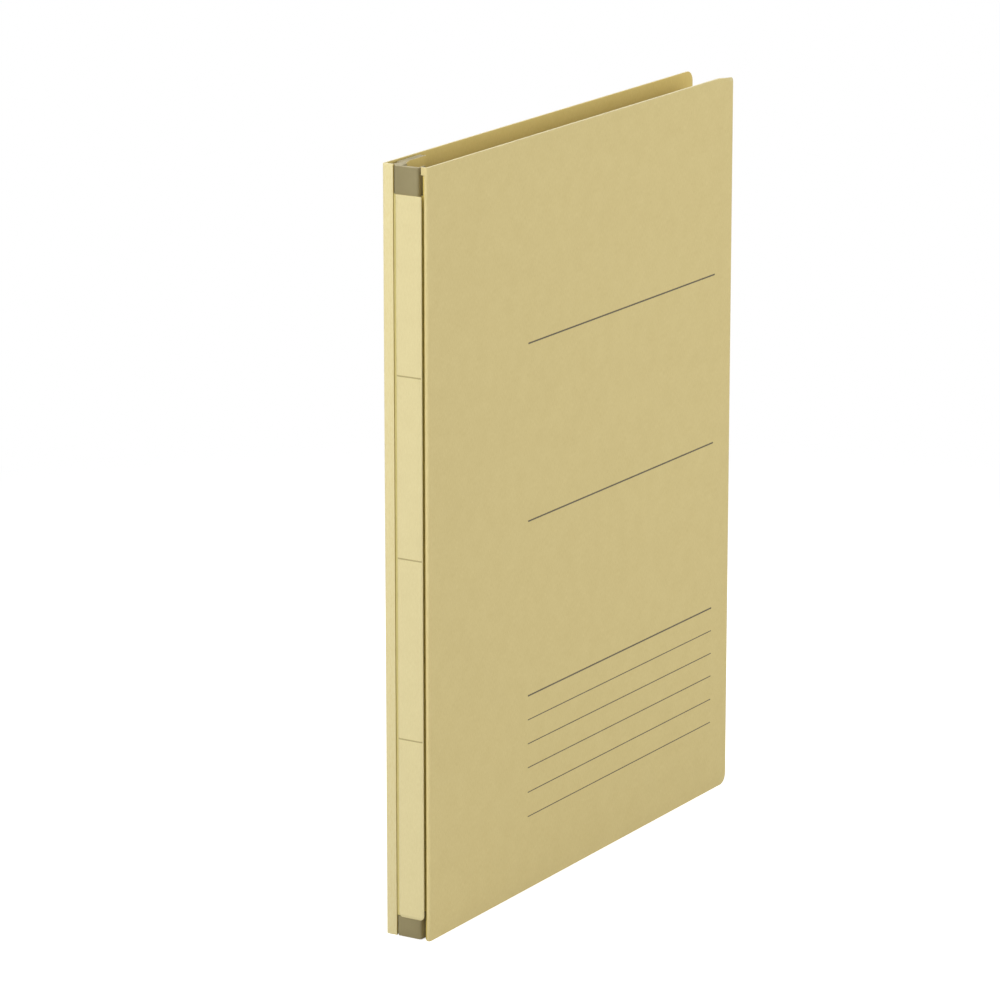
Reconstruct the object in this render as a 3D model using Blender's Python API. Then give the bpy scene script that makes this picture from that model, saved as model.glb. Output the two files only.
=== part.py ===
"""Two-hole flat file for A4 sheets, with a spine that grows.

The file stands on its bottom edges. X runs through its thickness, from the back
cover to the front cover. Y runs from the spine to the fore edge. Z is up. The
origin is at the middle of the foot of the closed file.

A distance called "across" is measured in X from the outer face of the back cover,
and a distance called "deep" is measured in Y from the plane of the two folds.
"""

import math

import bmesh
import bpy
from mathutils import Matrix, Vector

MM = 0.001

# Covers
COVER_HEIGHT = 307.0 * MM
COVER_DEPTH = 238.0 * MM
CLOSED_THICKNESS = 20.0 * MM
BOARD = 0.8 * MM
FORE_CORNER_RADIUS = 4.5 * MM

# Clearances
RUNNING_GAP = 0.3 * MM
GLUE_LINE = 0.2 * MM

# Board turned round the back fold, and the plastic rail behind it
TURN_IN_WIDTH = 3.7 * MM
RAIL_WALL = 0.8 * MM
RAIL_FACE_WALL = 1.8 * MM
RAIL_BACK_WALL = 1.0 * MM
RAIL_FACE_LEFT = 5.0 * MM
RAIL_FACE_WIDTH = 11.3 * MM
RAIL_FACE_PROUD = 0.5 * MM
RAIL_CORNER_RADIUS = 1.2 * MM
RAIL_BOX_DEPTH = 4.9 * MM
RAIL_OUTER_LEG_ACROSS = 2.3 * MM
RAIL_LEG_DEPTH = 23.2 * MM
RAIL_ROOT = 3.0 * MM
RAIL_FLARE = 2.2 * MM
RAIL_FLARE_DEPTH = 11.0 * MM
RAIL_END_BLOCK = 10.7 * MM
RAIL_END_RELIEF = 3.0 * MM
RAIL_LEG_RELIEF = 7.0 * MM
RAIL_END_GROOVE = 0.6 * MM

# Title strip glued over the rail
LABEL_THICKNESS = 0.6 * MM
LABEL_LEFT = 5.95 * MM
LABEL_WIDTH = 11.95 * MM
LABEL_FOOT_RADIUS = 1.8 * MM
LABEL_HEAD_RADIUS = 0.4 * MM
LABEL_BARE_BELOW = 8.4 * MM
LABEL_BARE_ABOVE = 11.2 * MM

# Sliding flap of the front cover
GROWTH = 100.0 * MM
FLAP_BOARD = 0.5 * MM
FLAP_BEND_RADIUS = 3.0 * MM
TAIL_KEPT_IN_RAIL = 4.0 * MM

# Fastener for sheets with two punched holes
HOLE_PITCH = 80.0 * MM
HOLE_TO_SHEET_EDGE = 12.0 * MM
PRONG_WIDTH = 6.0 * MM
PRONG_THICKNESS = 0.6 * MM
PRONG_BLADE_LENGTH = 105.0 * MM
PLATE_THICKNESS = 1.0 * MM
PLATE_WIDTH = 11.0 * MM
PLATE_LENGTH = 120.0 * MM
PLATE_CORNER_RADIUS = 2.0 * MM
STAKE_RADIUS = 1.4 * MM
STAKE_HEAD_RADIUS = 2.2 * MM
STAKE_HEAD_THICKNESS = 0.6 * MM
STAKE_FROM_PLATE_END = 4.0 * MM
PRESS_BAR_FROM_PLATE_END = 8.0 * MM
PRESS_BAR_LENGTH = PLATE_LENGTH - 2 * PRESS_BAR_FROM_PLATE_END
PRESS_BAR_FOOT_WIDTH = 9.0 * MM
PRESS_BAR_WING = 1.0 * MM
PRESS_BAR_FLOOR = 1.0 * MM
PRESS_BAR_RIM = 1.0 * MM
KEEPER_WALL = 0.8 * MM
KEEPER_LIP = 0.6 * MM
KEEPER_LENGTH = 8.0 * MM
KEEPER_FROM_BAR_END = 1.0 * MM

ROUND_STEPS = 8

# Frame
BACK_X = -CLOSED_THICKNESS / 2
FRONT_X = CLOSED_THICKNESS / 2
LABEL_PROUD = RAIL_FACE_PROUD + GLUE_LINE + LABEL_THICKNESS
FOLD_Y = LABEL_PROUD - (COVER_DEPTH + LABEL_PROUD) / 2
FORE_Y = FOLD_Y + COVER_DEPTH
MIDDLE_Z = COVER_HEIGHT / 2

# Rail
RAIL_LOW = RUNNING_GAP
RAIL_HIGH = COVER_HEIGHT - RUNNING_GAP
RAIL_FACE_RIGHT = RAIL_FACE_LEFT + RAIL_FACE_WIDTH
RAIL_BACK_OF_TURN_IN = BOARD + GLUE_LINE
SLOT_FRONT = RAIL_BACK_OF_TURN_IN + RAIL_WALL
SLOT_WIDTH = FLAP_BOARD + 2 * RUNNING_GAP
SLOT_BACK = SLOT_FRONT + SLOT_WIDTH
SLOT_LOW = RAIL_LOW + RAIL_END_BLOCK
SLOT_HIGH = RAIL_HIGH - RAIL_END_BLOCK
LEG_SLOT_LEFT = RAIL_OUTER_LEG_ACROSS + RAIL_WALL
LEG_SLOT_RIGHT = LEG_SLOT_LEFT + SLOT_WIDTH
INNER_LEG_RIGHT = LEG_SLOT_RIGHT + RAIL_WALL
HOLLOW_LEFT = RAIL_FACE_LEFT + RAIL_ROOT
HOLLOW_FRONT = RAIL_FACE_WALL - RAIL_FACE_PROUD
HOLLOW_BACK = RAIL_BOX_DEPTH - RAIL_BACK_WALL

# Flap
FLAP_FRONT = SLOT_FRONT + RUNNING_GAP
FLAP_BACK = FLAP_FRONT + FLAP_BOARD
FLAP_LOW = SLOT_LOW + RUNNING_GAP
FLAP_HIGH = SLOT_HIGH - RUNNING_GAP
FLAP_RIGHT = CLOSED_THICKNESS - BOARD - RUNNING_GAP
FLAP_HEAD_LEFT = RAIL_FACE_RIGHT + RUNNING_GAP
TAIL_LEFT = LEG_SLOT_LEFT + RUNNING_GAP
TAIL_RIGHT = TAIL_LEFT + FLAP_BOARD
TAIL_END = SLOT_BACK + TAIL_KEPT_IN_RAIL + GROWTH

# Fastener, stacked across the file from the rail's inner leg
HOLE_DEEP = RAIL_BOX_DEPTH + RUNNING_GAP + HOLE_TO_SHEET_EDGE
FOOT_ACROSS = INNER_LEG_RIGHT + GLUE_LINE
PLATE_ACROSS = FOOT_ACROSS + PRONG_THICKNESS + GLUE_LINE
BAR_ACROSS = PLATE_ACROSS + PLATE_THICKNESS + RUNNING_GAP
BAR_WING_ACROSS = BAR_ACROSS + PRESS_BAR_FLOOR
BAR_TOP_ACROSS = BAR_WING_ACROSS + PRESS_BAR_RIM
BLADE_ACROSS = BAR_WING_ACROSS + GLUE_LINE
KEEPER_ROOF_ACROSS = BAR_TOP_ACROSS + RUNNING_GAP
KEEPER_TOP_ACROSS = KEEPER_ROOF_ACROSS + KEEPER_WALL
PRONG_HALF_SLOT = PRONG_WIDTH / 2 + RUNNING_GAP
BAR_HALF_WIDTH = PRESS_BAR_FOOT_WIDTH / 2 + PRESS_BAR_WING


def across(distance):
    """X of a point that lies this far from the back cover's outer face."""
    return BACK_X + distance


def deep(distance):
    """Y of a point that lies this far behind the plane of the folds."""
    return FOLD_Y + distance


def clear_scene():
    for old in list(bpy.data.objects):
        bpy.data.objects.remove(old, do_unlink=True)


def material(name, colour, roughness):
    """A plain Principled material from an sRGB colour given as 0 to 255."""
    made = bpy.data.materials.new(name)
    made.use_nodes = True
    shader = made.node_tree.nodes["Principled BSDF"]
    linear = [((c / 255 + 0.055) / 1.055) ** 2.4 for c in colour]
    shader.inputs["Base Color"].default_value = (*linear, 1.0)
    shader.inputs["Roughness"].default_value = roughness
    shader.inputs["Metallic"].default_value = 0.0
    made.diffuse_color = (*linear, 1.0)
    return made


def arc(centre, radius, start, end, steps=ROUND_STEPS):
    """Points on a circular arc, with the angles in degrees."""
    points = []
    for step in range(steps + 1):
        angle = math.radians(start + (end - start) * step / steps)
        points.append((centre[0] + radius * math.cos(angle), centre[1] + radius * math.sin(angle)))
    return points


def rounded_rectangle(low, high, foot_radius, head_radius):
    """Outline of a rectangle between two corners, with one radius below and one above."""
    foot, head = low[1] + foot_radius, high[1] - head_radius
    return (arc((high[0] - head_radius, head), head_radius, 0, 90)
            + arc((low[0] + head_radius, head), head_radius, 90, 180)
            + arc((low[0] + foot_radius, foot), foot_radius, 180, 270)
            + arc((high[0] - foot_radius, foot), foot_radius, 270, 360))


def ribbon(path, thickness):
    """Outline of a strip of even thickness that follows a path, with mitred corners."""
    sides = ([], [])
    for index, point in enumerate(path):
        here = Vector(point)
        before = (here - Vector(path[index - 1])).normalized() if index else None
        after = (Vector(path[index + 1]) - here).normalized() if index + 1 < len(path) else None
        first, second = before or after, after or before
        normal = Vector((-(first.y + second.y), first.x + second.x)).normalized()
        reach = thickness / 2 / max(normal.dot(Vector((-first.y, first.x))), 0.1)
        sides[0].append(tuple(here + normal * reach))
        sides[1].append(tuple(here - normal * reach))
    return sides[0] + sides[1][::-1]


def solid(name, outline, low, high, along, finish=None):
    """Extrude a closed outline along one axis; the outline holds the other two coordinates in order."""
    place = {
        "X": lambda u, v, w: (w, u, v),
        "Y": lambda u, v, w: (u, w, v),
        "Z": lambda u, v, w: (u, v, w),
    }[along]
    shape = bmesh.new()
    ring = [shape.verts.new(place(u, v, low)) for u, v in outline]
    cap = shape.faces.new(ring)
    grown = bmesh.ops.extrude_face_region(shape, geom=[cap])
    moved = [item for item in grown["geom"] if isinstance(item, bmesh.types.BMVert)]
    bmesh.ops.translate(shape, verts=moved, vec=place(0.0, 0.0, high - low))
    bmesh.ops.recalc_face_normals(shape, faces=shape.faces)
    mesh = bpy.data.meshes.new(name)
    shape.to_mesh(mesh)
    shape.free()
    made = bpy.data.objects.new(name, mesh)
    bpy.context.scene.collection.objects.link(made)
    if finish:
        mesh.materials.append(finish)
    return made


def block(name, low, high, finish=None):
    """A box between two corners."""
    outline = [(low[0], low[1]), (high[0], low[1]), (high[0], high[1]), (low[0], high[1])]
    return solid(name, outline, low[2], high[2], "Z", finish)


def combine(target, tool, operation):
    """Cut a hidden tool from a piece, or join it on."""
    tool.hide_render = True
    tool.display_type = "WIRE"
    change = target.modifiers.new(tool.name, "BOOLEAN")
    change.operation = operation
    change.solver = "EXACT"
    change.object = tool


def set_origin(piece, point):
    """Put a moving piece's origin on its joint's axis, and leave its shape where it is."""
    piece.data.transform(Matrix.Translation(-Vector(point)))
    piece.location = point


def smooth(piece):
    piece.data.shade_smooth()
    piece.data.set_sharp_from_angle(angle=math.radians(35.0))


def cover_panel(name, outer_x, inward, finish):
    """A cover board: round along its fold, where the hinge axis is, and at its two fore corners."""
    hinge_x = outer_x + inward * BOARD / 2
    hinge_y = deep(BOARD / 2)
    fold = arc((hinge_x, hinge_y), BOARD / 2, 180, 360)
    outline = fold + [(hinge_x + BOARD / 2, FORE_Y), (hinge_x - BOARD / 2, FORE_Y)]
    panel = solid(name, outline, 0.0, COVER_HEIGHT, "Z", finish)
    shape = bmesh.new()
    shape.from_mesh(panel.data)
    corners = []
    for edge in shape.edges:
        ends = [end.co for end in edge.verts]
        at_fore_edge = all(abs(end.y - FORE_Y) < BOARD / 10 for end in ends)
        runs_across = abs(ends[0].z - ends[1].z) < BOARD / 10
        if at_fore_edge and runs_across:
            corners.append(edge)
    bmesh.ops.bevel(shape, geom=corners, offset=FORE_CORNER_RADIUS, segments=ROUND_STEPS,
                    profile=0.5, affect="EDGES")
    bmesh.ops.recalc_face_normals(shape, faces=shape.faces)
    shape.to_mesh(panel.data)
    shape.free()
    set_origin(panel, (hinge_x, hinge_y, 0.0))
    smooth(panel)
    return panel


def turned_in_strip(finish):
    """The edge of the back board beyond its fold, which is glued on the rail."""
    left = BOARD + RUNNING_GAP
    outline = [
        (across(left + TURN_IN_WIDTH), deep(0.0)),
        (across(left + TURN_IN_WIDTH), deep(BOARD)),
        (across(left), deep(BOARD)),
    ]
    outline += arc((across(left + BOARD / 2), deep(BOARD / 2)), BOARD / 2, 180, 270, ROUND_STEPS // 2)
    return solid("back_spine_strip", outline, 0.0, COVER_HEIGHT, "Z", finish)


def spine_rail(finish):
    """The plastic rail: a box behind the title strip, and two legs with the flap's slot between them.

    The slot widens towards the box, where the flap bends. The rail's end blocks close it, but for a
    shallow groove. At both ends of the rail the box is open at the back, and the outer leg and the
    wall behind the turned-in board stop short.
    """
    right, front = RAIL_FACE_RIGHT, -RAIL_FACE_PROUD
    corner = (across(right - RAIL_CORNER_RADIUS), deep(front + RAIL_CORNER_RADIUS))
    outline = [(across(RAIL_FACE_LEFT), deep(front))]
    outline += arc(corner, RAIL_CORNER_RADIUS, 270, 360, ROUND_STEPS // 2)
    outline += [
        (across(right), deep(RAIL_BOX_DEPTH)),
        (across(INNER_LEG_RIGHT + RAIL_FLARE), deep(RAIL_BOX_DEPTH)),
        (across(INNER_LEG_RIGHT), deep(RAIL_FLARE_DEPTH)),
        (across(INNER_LEG_RIGHT), deep(RAIL_LEG_DEPTH)),
        (across(RAIL_OUTER_LEG_ACROSS), deep(RAIL_LEG_DEPTH)),
        (across(RAIL_OUTER_LEG_ACROSS), deep(RAIL_BACK_OF_TURN_IN)),
        (across(RAIL_FACE_LEFT), deep(RAIL_BACK_OF_TURN_IN)),
    ]
    rail = solid("spine_rail", outline, RAIL_LOW, RAIL_HIGH, "Z", finish)

    hollow = block(
        "rail_hollow_cutter",
        (across(HOLLOW_LEFT), deep(HOLLOW_FRONT), RAIL_LOW - BOARD),
        (across(right - RAIL_WALL), deep(HOLLOW_BACK), RAIL_HIGH + BOARD))
    combine(rail, hollow, "DIFFERENCE")

    between_legs = [
        (across(LEG_SLOT_RIGHT + RAIL_FLARE), deep(RAIL_BOX_DEPTH)),
        (across(LEG_SLOT_RIGHT), deep(RAIL_FLARE_DEPTH)),
        (across(LEG_SLOT_RIGHT), deep(RAIL_LEG_DEPTH + BOARD)),
        (across(LEG_SLOT_LEFT), deep(RAIL_LEG_DEPTH + BOARD)),
    ]
    behind_the_face = [
        (across(LEG_SLOT_LEFT), deep(SLOT_FRONT)),
        (across(LEG_SLOT_RIGHT + RAIL_FLARE), deep(SLOT_FRONT)),
    ]
    groove = [(across(LEG_SLOT_LEFT), deep(RAIL_BOX_DEPTH))] + between_legs
    for outline, low, high, place in (
            (behind_the_face + between_legs, SLOT_LOW, SLOT_HIGH, "middle"),
            (groove, 0.0, RAIL_LOW + RAIL_END_GROOVE, "low"),
            (groove, RAIL_HIGH - RAIL_END_GROOVE, COVER_HEIGHT, "high")):
        leg_slot = solid(f"rail_leg_slot_cutter_{place}", outline, low, high, "Z")
        combine(rail, leg_slot, "DIFFERENCE")

    slot = block(
        "rail_slot_cutter",
        (across((LEG_SLOT_LEFT + LEG_SLOT_RIGHT) / 2), deep(SLOT_FRONT), SLOT_LOW),
        (across(CLOSED_THICKNESS), deep(SLOT_BACK), SLOT_HIGH))
    combine(rail, slot, "DIFFERENCE")

    for low, high, end in ((0.0, RAIL_LOW + RAIL_END_RELIEF, "low"),
                           (RAIL_HIGH - RAIL_END_RELIEF, COVER_HEIGHT, "high")):
        box_end = block(
            f"rail_box_end_cutter_{end}",
            (across(HOLLOW_LEFT), deep((HOLLOW_FRONT + HOLLOW_BACK) / 2), low),
            (across(right - RAIL_WALL), deep(RAIL_BOX_DEPTH + BOARD), high))
        combine(rail, box_end, "DIFFERENCE")
        leg_end = block(
            f"rail_leg_end_cutter_{end}",
            (across(BOARD), deep(BOARD), low),
            (across((LEG_SLOT_LEFT + LEG_SLOT_RIGHT) / 2), deep(RAIL_LEG_RELIEF), high))
        combine(rail, leg_end, "DIFFERENCE")

    for side in (-1, 1):
        stake = stake_on_rail(side)
        combine(rail, stake, "UNION")
    return rail


def stake_on_rail(side):
    """A headed stake, moulded on the rail's inner leg, that holds the fastener's plate."""
    centre_z = MIDDLE_Z + side * (PLATE_LENGTH / 2 - STAKE_FROM_PLATE_END)
    shape = bmesh.new()
    head_low = across(PLATE_ACROSS + PLATE_THICKNESS + GLUE_LINE)
    profile = [
        (across(INNER_LEG_RIGHT - RAIL_WALL / 2), 0.0),
        (across(INNER_LEG_RIGHT - RAIL_WALL / 2), STAKE_RADIUS),
        (head_low, STAKE_RADIUS),
        (head_low, STAKE_HEAD_RADIUS),
        (head_low + STAKE_HEAD_THICKNESS / 2, STAKE_HEAD_RADIUS),
        (head_low + STAKE_HEAD_THICKNESS, STAKE_HEAD_RADIUS / 2),
        (head_low + STAKE_HEAD_THICKNESS, 0.0),
    ]
    verts = [shape.verts.new((x, deep(HOLE_DEEP) + r, centre_z)) for x, r in profile]
    edges = [shape.edges.new(pair) for pair in zip(verts, verts[1:])]
    bmesh.ops.spin(shape, geom=verts + edges, cent=(0.0, deep(HOLE_DEEP), centre_z),
                   axis=(1.0, 0.0, 0.0), angle=math.tau, steps=ROUND_STEPS * 2)
    bmesh.ops.remove_doubles(shape, verts=shape.verts, dist=0.01 * MM)
    bmesh.ops.recalc_face_normals(shape, faces=shape.faces)
    name = "stake_low" if side < 0 else "stake_high"
    mesh = bpy.data.meshes.new(name)
    shape.to_mesh(mesh)
    shape.free()
    stake = bpy.data.objects.new(name, mesh)
    bpy.context.scene.collection.objects.link(stake)
    return stake


def title_strip(finish):
    """The board strip with the title panels, glued on the rail's raised face."""
    outline = rounded_rectangle(
        (across(LABEL_LEFT), LABEL_BARE_BELOW),
        (across(LABEL_LEFT + LABEL_WIDTH), COVER_HEIGHT - LABEL_BARE_ABOVE),
        LABEL_FOOT_RADIUS, LABEL_HEAD_RADIUS)
    low = deep(-LABEL_PROUD)
    strip = solid("spine_label", outline, low, low + LABEL_THICKNESS, "Y", finish)
    smooth(strip)
    return strip


def sliding_flap(finish):
    """The flap's rigid part: it lies in the slot, and turns forward beside the front cover.

    Its head, outside the rail, is as tall as the rail. The rest fits between the rail's end blocks.
    """
    left = LEG_SLOT_RIGHT + FLAP_BEND_RADIUS + FLAP_BOARD / 2 + RUNNING_GAP
    outline = [
        (across(left), deep(FLAP_FRONT)),
        (across(FLAP_RIGHT - FLAP_BOARD), deep(FLAP_FRONT)),
        (across(FLAP_RIGHT - FLAP_BOARD), deep(BOARD + RUNNING_GAP)),
        (across(FLAP_RIGHT), deep(BOARD + RUNNING_GAP)),
        (across(FLAP_RIGHT), deep(FLAP_BACK)),
        (across(left), deep(FLAP_BACK)),
    ]
    flap = solid("front_flap", outline, RAIL_LOW, RAIL_HIGH, "Z", finish)
    for low, high, end in ((0.0, FLAP_LOW, "low"), (FLAP_HIGH, COVER_HEIGHT, "high")):
        notch = block(
            f"flap_notch_cutter_{end}",
            (across(INNER_LEG_RIGHT), deep(0.0), low),
            (across(FLAP_HEAD_LEFT), deep(RAIL_BOX_DEPTH), high))
        combine(flap, notch, "DIFFERENCE")
    return flap


def flap_tail(finish):
    """The part of the flap that bends round the back corner and is stored beside the back cover."""
    middle_across = across((TAIL_LEFT + TAIL_RIGHT) / 2)
    middle_deep = deep((FLAP_FRONT + FLAP_BACK) / 2)
    start = across(LEG_SLOT_RIGHT + FLAP_BEND_RADIUS + FLAP_BOARD / 2)
    centre = (middle_across + FLAP_BEND_RADIUS, middle_deep + FLAP_BEND_RADIUS)
    path = [(start, middle_deep)]
    path += arc(centre, FLAP_BEND_RADIUS, 270, 180)
    path += [(middle_across, deep(TAIL_END))]
    return solid("flap_tail", ribbon(path, FLAP_BOARD), FLAP_LOW, FLAP_HIGH, "Z", finish)


def prong_strip(finish):
    """One plastic strip: a foot along the rail, and two prongs folded flat over the press bar."""
    foot = across(FOOT_ACROSS + PRONG_THICKNESS / 2)
    blade = across(BLADE_ACROSS + PRONG_THICKNESS / 2)
    half_pitch = HOLE_PITCH / 2
    tip = half_pitch + PRONG_BLADE_LENGTH
    path = [
        (blade, MIDDLE_Z - tip),
        (blade, MIDDLE_Z - half_pitch),
        (foot, MIDDLE_Z - half_pitch),
        (foot, MIDDLE_Z + half_pitch),
        (blade, MIDDLE_Z + half_pitch),
        (blade, MIDDLE_Z + tip),
    ]
    low = deep(HOLE_DEEP) - PRONG_WIDTH / 2
    return solid("fastener_prongs", ribbon(path, PRONG_THICKNESS), low, low + PRONG_WIDTH, "Y", finish)


def prong_slot(name, side, low_across, high_across):
    """Cutter for the slot that a prong comes through."""
    centre_z = MIDDLE_Z + side * HOLE_PITCH / 2
    half_height = PRONG_THICKNESS / 2 + RUNNING_GAP
    return block(
        name,
        (across(low_across), deep(HOLE_DEEP) - PRONG_HALF_SLOT, centre_z - half_height),
        (across(high_across), deep(HOLE_DEEP) + PRONG_HALF_SLOT, centre_z + half_height))


def fastener_plate(finish):
    """The plate that covers the prongs' foot; the rail's two stakes hold it."""
    middle = deep(HOLE_DEEP)
    outline = rounded_rectangle(
        (middle - PLATE_WIDTH / 2, MIDDLE_Z - PLATE_LENGTH / 2),
        (middle + PLATE_WIDTH / 2, MIDDLE_Z + PLATE_LENGTH / 2),
        PLATE_CORNER_RADIUS, PLATE_CORNER_RADIUS)
    low = across(PLATE_ACROSS)
    plate = solid("fastener_plate", outline, low, low + PLATE_THICKNESS, "X", finish)
    for side, end in ((-1, "low"), (1, "high")):
        slot = prong_slot(f"plate_slot_cutter_{end}", side,
                          PLATE_ACROSS - PLATE_THICKNESS, PLATE_ACROSS + 2 * PLATE_THICKNESS)
        combine(plate, slot, "DIFFERENCE")
        centre_z = MIDDLE_Z + side * (PLATE_LENGTH / 2 - STAKE_FROM_PLATE_END)
        circle = arc((middle, centre_z), STAKE_RADIUS + RUNNING_GAP, 0, 360, ROUND_STEPS * 2)[:-1]
        hole = solid(f"plate_hole_cutter_{end}", circle, low - PLATE_THICKNESS,
                     low + 2 * PLATE_THICKNESS, "X")
        combine(plate, hole, "DIFFERENCE")
    return plate


def press_bar(finish):
    """The bar that holds the sheets down: a groove for the prongs, and wings for the keepers."""
    middle = deep(HOLE_DEEP)
    foot_half = PRESS_BAR_FOOT_WIDTH / 2
    half_section = [
        (BAR_ACROSS, foot_half),
        (BAR_WING_ACROSS, foot_half),
        (BAR_WING_ACROSS, BAR_HALF_WIDTH),
        (BAR_TOP_ACROSS, BAR_HALF_WIDTH),
        (BAR_TOP_ACROSS, PRONG_HALF_SLOT),
        (BAR_WING_ACROSS, PRONG_HALF_SLOT),
    ]
    outline = [(across(x), middle + y) for x, y in half_section]
    outline += [(across(x), middle - y) for x, y in reversed(half_section)]
    bar = solid("press_bar", outline, MIDDLE_Z - PRESS_BAR_LENGTH / 2,
                MIDDLE_Z + PRESS_BAR_LENGTH / 2, "Z", finish)
    for side, end in ((-1, "low"), (1, "high")):
        slot = prong_slot(f"bar_slot_cutter_{end}", side,
                          BAR_ACROSS - PRESS_BAR_FLOOR, BAR_TOP_ACROSS + PRESS_BAR_RIM)
        combine(bar, slot, "DIFFERENCE")
    set_origin(bar, (across(BAR_ACROSS), middle, MIDDLE_Z))
    return bar


def keeper(name, side, finish):
    """A clip that runs along the press bar and locks one folded prong."""
    middle = deep(HOLE_DEEP)
    inner_half = BAR_HALF_WIDTH + RUNNING_GAP
    outer_half = inner_half + KEEPER_WALL
    mouth_half = PRESS_BAR_FOOT_WIDTH / 2 + RUNNING_GAP
    lip_top = BAR_WING_ACROSS - RUNNING_GAP
    lip_low = lip_top - KEEPER_LIP
    half_section = [
        (lip_low, mouth_half),
        (lip_low, outer_half),
        (KEEPER_TOP_ACROSS, outer_half),
    ]
    inside = [
        (KEEPER_ROOF_ACROSS, inner_half),
        (lip_top, inner_half),
        (lip_top, mouth_half),
    ]
    outline = [(across(x), middle + y) for x, y in half_section]
    outline += [(across(x), middle - y) for x, y in reversed(half_section)]
    outline += [(across(x), middle - y) for x, y in reversed(inside)]
    outline += [(across(x), middle + y) for x, y in inside]
    far = MIDDLE_Z + side * (PRESS_BAR_LENGTH / 2 - KEEPER_FROM_BAR_END)
    near = far - side * KEEPER_LENGTH
    clip = solid(name, outline, min(near, far), max(near, far), "Z", finish)
    set_origin(clip, (across(KEEPER_ROOF_ACROSS), middle, (near + far) / 2))
    return clip


def build():
    clear_scene()
    board = material("cover_board", (203, 187, 132), 0.75)
    strip_board = material("title_board", (224, 210, 158), 0.7)
    rail_plastic = material("rail_plastic", (150, 137, 97), 0.5)
    fastener_plastic = material("fastener_plastic", (226, 224, 214), 0.4)

    cover_panel("back_cover_panel", BACK_X, 1, board)
    turned_in_strip(board)
    spine_rail(rail_plastic)
    title_strip(strip_board)
    flap = sliding_flap(board)
    set_origin(flap, (across(FLAP_RIGHT), deep(FLAP_FRONT), MIDDLE_Z))
    flap_tail(board)
    cover_panel("front_cover_panel", FRONT_X, -1, board)
    prong_strip(fastener_plastic)
    fastener_plate(fastener_plastic)
    press_bar(fastener_plastic)
    keeper("keeper_bottom", -1, fastener_plastic)
    keeper("keeper_top", 1, fastener_plastic)


build()
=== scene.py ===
import math

import bmesh
import bpy
from mathutils import Matrix, Vector


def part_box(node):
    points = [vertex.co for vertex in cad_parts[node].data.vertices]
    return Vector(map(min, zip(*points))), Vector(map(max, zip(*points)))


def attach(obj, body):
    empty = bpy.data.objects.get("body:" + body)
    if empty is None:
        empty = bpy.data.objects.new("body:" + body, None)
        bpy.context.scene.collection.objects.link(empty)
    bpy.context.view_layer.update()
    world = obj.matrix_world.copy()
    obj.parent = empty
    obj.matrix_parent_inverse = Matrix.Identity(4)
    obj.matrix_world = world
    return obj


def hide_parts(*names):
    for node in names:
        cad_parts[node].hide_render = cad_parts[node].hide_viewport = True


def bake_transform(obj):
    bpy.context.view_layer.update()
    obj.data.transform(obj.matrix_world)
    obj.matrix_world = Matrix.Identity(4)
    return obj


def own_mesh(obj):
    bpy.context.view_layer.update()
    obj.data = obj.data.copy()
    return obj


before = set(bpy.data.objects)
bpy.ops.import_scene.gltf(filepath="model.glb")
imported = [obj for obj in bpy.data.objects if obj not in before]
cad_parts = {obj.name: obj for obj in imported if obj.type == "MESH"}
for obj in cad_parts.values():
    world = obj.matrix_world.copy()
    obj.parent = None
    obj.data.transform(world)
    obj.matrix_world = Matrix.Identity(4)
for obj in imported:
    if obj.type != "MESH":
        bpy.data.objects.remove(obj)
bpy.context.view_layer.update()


# Spine rail
# A moulding of grey-brown polypropylene. Its box fills the spine, with a rebate and a shallow seat
# at the left of its face, and its two legs guide the flap beside the back cover. The mould leaves
# a fine spark texture and soft edges. The faces at the trimmed top and foot are painted paler, a
# painted highlight of the light from above.

MM = 0.001
NEAR = 0.01
HEIGHT = 307.0
BACK_OUTER_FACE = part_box("back_cover_panel")[0].x
FOLD_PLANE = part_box("back_cover_panel")[0].y


def spot(across, deep, height):
    """A point, in millimetres across from the back cover, behind the folds and above the foot."""
    return Vector((BACK_OUTER_FACE + across * MM, FOLD_PLANE + deep * MM, height * MM))


def shift(across, deep, height):
    """A move, from millimetres."""
    return Vector((across, deep, height)) * MM


def same(a, b):
    """True for two lengths in metres that are less than NEAR millimetres apart."""
    return abs(a - b) < NEAR * MM


def take_up(piece, mode="OBJECT"):
    """Make this the only selected piece, in object or edit mode."""
    if bpy.context.object and bpy.context.object.mode != "OBJECT":
        bpy.ops.object.mode_set(mode="OBJECT")
    bpy.ops.object.select_all(action="DESELECT")
    piece.select_set(True)
    bpy.context.view_layer.objects.active = piece
    bpy.ops.object.mode_set(mode=mode)


def choose(piece, kind, wanted):
    """Select the points, edges or faces that pass a test, in edit mode.

    The test gets a point's place, an edge's two ends, or a face's middle and normal.
    """
    bpy.ops.mesh.select_mode(type=kind)
    bpy.ops.mesh.select_all(action="DESELECT")
    shape = bmesh.from_edit_mesh(piece.data)
    for item in {"VERT": shape.verts, "EDGE": shape.edges, "FACE": shape.faces}[kind]:
        if kind == "VERT":
            facts = (item.co,)
        elif kind == "EDGE":
            facts = tuple(end.co for end in item.verts)
        else:
            facts = (item.calc_center_median(), item.normal)
        if wanted(*facts):
            item.select_set(True)
    bmesh.update_edit_mesh(piece.data)


def finish_with(piece, kind, **settings):
    """Add a modifier with these settings and apply it."""
    take_up(piece)
    change = piece.modifiers.new(kind.title(), kind)
    for name, value in settings.items():
        setattr(change, name, value)
    bpy.ops.object.modifier_apply(modifier=change.name)


def soften(piece, width, segments=2, sharper_than=40.0):
    """Round the sharp edges by this width in millimetres, and shade the rest smooth."""
    finish_with(piece, "BEVEL", width=width * MM, segments=segments, limit_method="ANGLE",
                angle_limit=math.radians(sharper_than), use_clamp_overlap=True)
    bpy.ops.object.shade_smooth_by_angle(angle=math.radians(32.0))


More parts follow.
